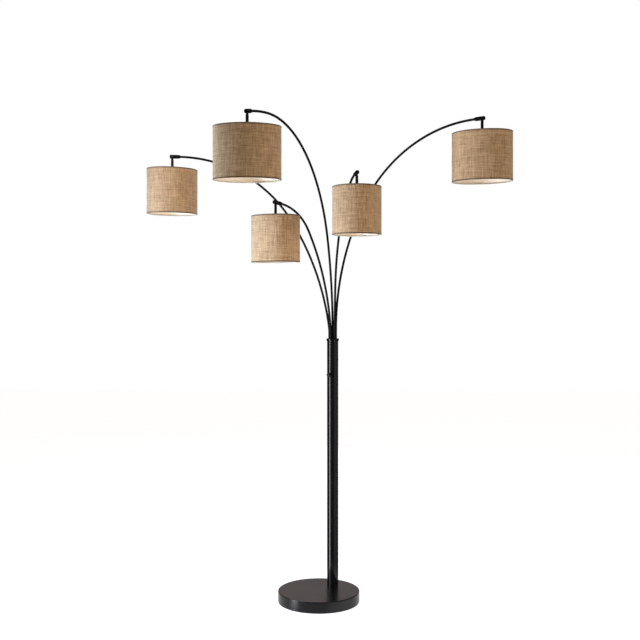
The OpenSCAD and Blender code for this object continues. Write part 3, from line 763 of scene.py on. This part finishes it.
class LAMP_OT_bulbs(bpy.types.Operator):
    """Opal bulbs with threaded caps, hanging cap up in the lampholders"""
    bl_idname = "lamp.bulbs"
    bl_label = "Bulbs"

    def execute(self, context):
        sizes, tones = context.scene.lamp_bulb, context.scene.lamp_colours
        glass = opal_glass("bulb_glass", tones)
        metal = zinc_plate("bulb_cap", tones, 0.9)
        ball, neck_r = sizes.wide / 2, sizes.neck / 2
        centre = (0.0, ball - sizes.tall)
        neck, bevel, collar = -sizes.cap_tall, 0.001, 0.004
        # The shoulder is a cubic Bezier curve that leaves the neck upright and meets the ball
        # on its tangent, this many degrees above the ball's widest place.
        meet, first_pull, last_pull = 32.0, 0.016, 0.018
        slope = math.radians(meet)
        start, end = np.array([neck_r, neck - collar]), arc(centre, ball, meet, meet, 1)[0]
        lead = start - [0.0, first_pull]
        trail = end + last_pull * np.array([-math.sin(slope), math.cos(slope)])
        w = np.linspace(0.0, 1.0, 20)[1:-1, None]
        shoulder = ((1 - w) ** 3 * start + 3 * (1 - w) ** 2 * w * lead
                    + 3 * (1 - w) * w ** 2 * trail + w ** 3 * end)
        profile = np.concatenate([
            [[0.0, neck], [neck_r - bevel, neck], [neck_r, neck - bevel], start],
            shoulder, arc(centre, ball, meet, -90.0, 44)])
        profile[-1, 0] = 0.0
        cap_low, cap_high, thread_depth = neck - 0.0005, -0.004, 0.0012
        contact = np.array([
            [0.0, -0.0042], [0.0092, -0.0042], [0.0080, -0.0026], [0.0048, -0.0012],
            [0.0044, -0.0004], [0.0030, 0.0], [0.0, 0.0]])
        for n in range(1, COUNT + 1):
            place = PINS[n - 1] + [0.0, 0.0, -sizes.top]
            piece = turned(f"bulb_glass_{n}", profile[::-1], place)
            finish_piece(piece, glass, f"hanger_{n}", "bulb_glass", f"bulb_{n}")
            cap = threaded(f"bulb_cap_{n}", place, cap_low, cap_high, sizes.cap_wide / 2,
                           thread_depth, sizes.pitch)
            finish_piece(cap, metal, f"hanger_{n}", "zinc_steel")
            tip = turned(f"bulb_contact_{n}", contact, place, ROUND_PIECE // 2)
            finish_piece(tip, metal, f"hanger_{n}", "zinc_steel")
        return {"FINISHED"}


class LAMP_OT_metalwork(bpy.types.Operator):
    """Paint, plating, felt and mouldings on the pieces that come from the CAD model"""
    bl_idname = "lamp.metalwork"
    bl_label = "Metalwork"

    def execute(self, context):
        tones = context.scene.lamp_colours
        paint = bronze_paint("bronze_paint", tones)
        base_paint = bronze_paint("bronze_base", tones, 0.25)
        arm_paint = bronze_paint("bronze_arms", tones, 0.36, 0.10)
        zinc = zinc_plate("zinc_steel", tones)
        dark_zinc = zinc_plate("black_steel", tones, 0.12)
        iron = cast_iron("cast_iron", tones)
        felt = felt_pad("black_felt", tones)
        rubber = moulded("black_rubber", tones.black, SCUFFED_RUBBER, 0.62)
        plastic = moulded("black_plastic", tones.black, SCUFFED_PLASTIC, 0.42)
        knob = moulded("knob_plastic", KNOB_BLACK, SCUFFED_KNOB, 0.5, 0.12)
        wire = coated_wire("frame_wire")
        coats = {
            "base_cover": base_paint, "base_weight": iron, "base_pad": felt, "base_nut": zinc,
            "cord_grommet": rubber, "feed_wire": rubber, "pole_foot": zinc,
            "pole_lower": paint, "pole_coupler": zinc, "pole_upper": paint, "pole_head": paint,
            "head_screws": dark_zinc, "switch_body": plastic, "switch_nut": dark_zinc,
            "switch_knob": knob,
        }
        for n in range(1, COUNT + 1):
            coats.update({
                f"arm_{n}": arm_paint, f"knuckle_{n}": arm_paint,
                f"knuckle_screw_{n}": dark_zinc, f"stem_{n}": arm_paint,
                f"lampholder_{n}": plastic, f"shade_ring_{n}": plastic,
                f"shade_frame_{n}": wire, f"shade_{n}": wire, f"bulb_{n}": plastic,
            })
        missing = set(frame["nodes"]) - set(coats)
        if missing:
            raise RuntimeError(f"no finish for {sorted(missing)}")
        for node, coat in coats.items():
            for slot in frame["nodes"][node].material_slots:
                slot.material = coat
        return {"FINISHED"}


def area_light(name, place, aim, size, power, tint, mirrored=False):
    """A soft box that never stands in a view. It lights dull surfaces, or shows in shiny ones."""
    data = bpy.data.lights.new(name, "AREA")
    data.shape, data.size, data.size_y = "RECTANGLE", size[0], size[1]
    data.energy, data.color = power, tint
    light = bpy.data.objects.new(name, data)
    bpy.context.scene.collection.objects.link(light)
    light.location = place
    light.rotation_euler = (Vector(aim) - light.location).to_track_quat("-Z", "Y").to_euler()
    light.visible_camera = False
    light.visible_diffuse, light.visible_glossy = not mirrored, mirrored


class LAMP_OT_stage(bpy.types.Operator):
    """Camera, pale floor, soft lights and white surroundings"""
    bl_idname = "lamp.stage"
    bl_label = "Stage"

    def execute(self, context):
        scene, stage = context.scene, context.scene.lamp_stage
        scene.view_settings.view_transform = "Standard"

        data = bpy.data.cameras.new("camera")
        data.lens, data.sensor_width, data.shift_y = stage.lens, 36.0, stage.rise
        camera = bpy.data.objects.new("camera", data)
        scene.collection.objects.link(camera)
        camera.location = stage.camera
        camera.rotation_euler = (math.pi / 2, 0.0, 0.0)
        scene.camera = camera

        world = bpy.data.worlds.new("surroundings")
        scene.world = world
        world.use_nodes = True
        f = Finish(world.node_tree)
        seen = f.node("LightPath")
        straight_on = Value(f, seen.outputs["Is Camera Ray"]).larger(
            Value(f, seen.outputs["Is Transmission Ray"]))
        mirrored = Value(f, seen.outputs["Is Glossy Ray"])
        # Metal mirrors a dark room with a pale backdrop low behind the lamp and a grey panel at
        # the right. The heading is 0 towards the camera and grows to the right, in radians.
        way = f.node("SeparateXYZ", {}, {0: f.node("TexCoord").outputs["Generated"]})
        across, away, up = (Value(f, part) for part in way.outputs)
        heading = across.maths("ARCTAN2", across, 0.0 - away)
        behind = heading.size().ramp(2.5, 2.9) * up.ramp(0.17, 0.26) * (1 - up.ramp(0.42, 0.62))
        panel = heading.ramp(0.42, 0.62) * (1 - heading.ramp(1.45, 2.0))
        room = 0.02 + behind * 0.66 + panel * 0.60
        strength = (straight_on + (1 - straight_on) * (
            mirrored * room + (1 - mirrored) * stage.air))
        backdrop = f.mix(behind, WHITE, (1.0, 0.88, 0.83, 1.0))
        air = f.node("Background", {}, {
            "Color": f.mix(mirrored, f.mix(straight_on, WARM_WHITE, WHITE), backdrop),
            "Strength": strength})
        f.node("OutputWorld", {}, {"Surface": air.outputs[0]})

        floor_half = 9.0
        corners = np.array([[-1.0, -1.0, 0.0], [1.0, -1.0, 0.0], [1.0, 1.0, 0.0], [-1.0, 1.0, 0.0]])
        piece = mesh_piece("floor", floor_half * corners, np.array([[0, 1, 2, 3]]))
        material, f = new_finish("floor")
        seen = f.node("LightPath")
        plain = f.node("BsdfDiffuse", {}, {"Color": stage.floor})
        # The camera sees the floor nearly as white as the backdrop, with a faint shadow.
        glow = f.node("Emission", {}, {"Color": WHITE, "Strength": 0.86})
        paler = f.node("MixShader", {}, {0: 0.5, 1: plain.outputs[0]})
        lit = f.node("AddShader", {}, {0: paler.outputs[0], 1: glow.outputs[0]})
        plain_or_lit = f.node("MixShader", {}, {
            0: seen.outputs["Is Camera Ray"], 1: plain.outputs[0], 2: lit.outputs[0]})
        # In metal only the paper round the base shows pale; the rest mirrors the room.
        reach = f.value("VectorMath", {"operation": "LENGTH"}, {0: f.object_place()}, 1)
        paper = f.node("Emission", {}, {"Strength": 0.85})
        round_base = f.node("MixShader", {}, {0: reach.ramp(0.30, 0.50), 1: paper.outputs[0]})
        hole = f.node("BsdfTransparent")
        mirror = f.node("AddShader", {}, {0: round_base.outputs[0], 1: hole.outputs[0]})
        both = f.node("MixShader", {}, {
            0: seen.outputs["Is Glossy Ray"], 1: plain_or_lit.outputs[0], 2: mirror.outputs[0]})
        f.node("OutputMaterial", {}, {"Surface": both.outputs[0]})
        piece.data.materials.append(material)

        area_light("key", (-1.54, -0.70, 0.55), (0.0, -0.3, 1.1), (0.4, 1.1), stage.key,
                   (0.64, 0.78, 1.0))
        area_light("fill", (7.0, -4.8, 0.8), (-0.4, -0.2, 1.6), (1.9, 1.5), stage.fill,
                   (1.0, 0.90, 0.80))
        area_light("card", (0.55, -0.95, 0.03), (0.55, -0.95, 1.6), (1.5, 0.9), stage.card,
                   (1.0, 0.88, 0.76))
        area_light("back", (1.2, 4.2, 1.0), (0.0, 0.0, 1.4), (1.6, 1.4), stage.back,
                   (1.0, 0.95, 0.88))
        area_light("over", (-0.25, -0.45, 3.1), (0.0, -0.3, 1.5), (0.7, 0.7), stage.over,
                   (1.0, 0.86, 0.72))
        area_light("strip", (-0.84, -0.39, 1.1), (0.06, 0.10, 1.1), (0.25, 2.56), stage.strip,
                   (1.0, 1.0, 1.0), True)
        return {"FINISHED"}


STEPS = (LAMP_OT_stage, LAMP_OT_metalwork, LAMP_OT_shades, LAMP_OT_bulbs)


class LAMP_PT_panel(bpy.types.Panel):
    bl_idname = "LAMP_PT_panel"
    bl_label = "Lamp"
    bl_space_type = "VIEW_3D"
    bl_region_type = "UI"
    bl_category = "Lamp"

    def draw(self, context):
        for step in STEPS:
            self.layout.operator(step.bl_idname)


GROUPS = {
    "lamp_shade": LampShadeSizes, "lamp_bulb": LampBulbSizes, "lamp_colours": LampColours,
    "lamp_stage": LampStage,
}


def register():
    for kind in (*GROUPS.values(), *STEPS, LAMP_PT_panel):
        bpy.utils.register_class(kind)
    for name, group in GROUPS.items():
        setattr(bpy.types.Scene, name, bpy.props.PointerProperty(type=group))


def unregister():
    for name in GROUPS:
        delattr(bpy.types.Scene, name)
    for kind in reversed((*GROUPS.values(), *STEPS, LAMP_PT_panel)):
        bpy.utils.unregister_class(kind)


def main():
    register()
    for step in STEPS:
        group, operator = step.bl_idname.split(".")
        getattr(getattr(bpy.ops, group), operator)()


if __name__ == "__main__":
    main()
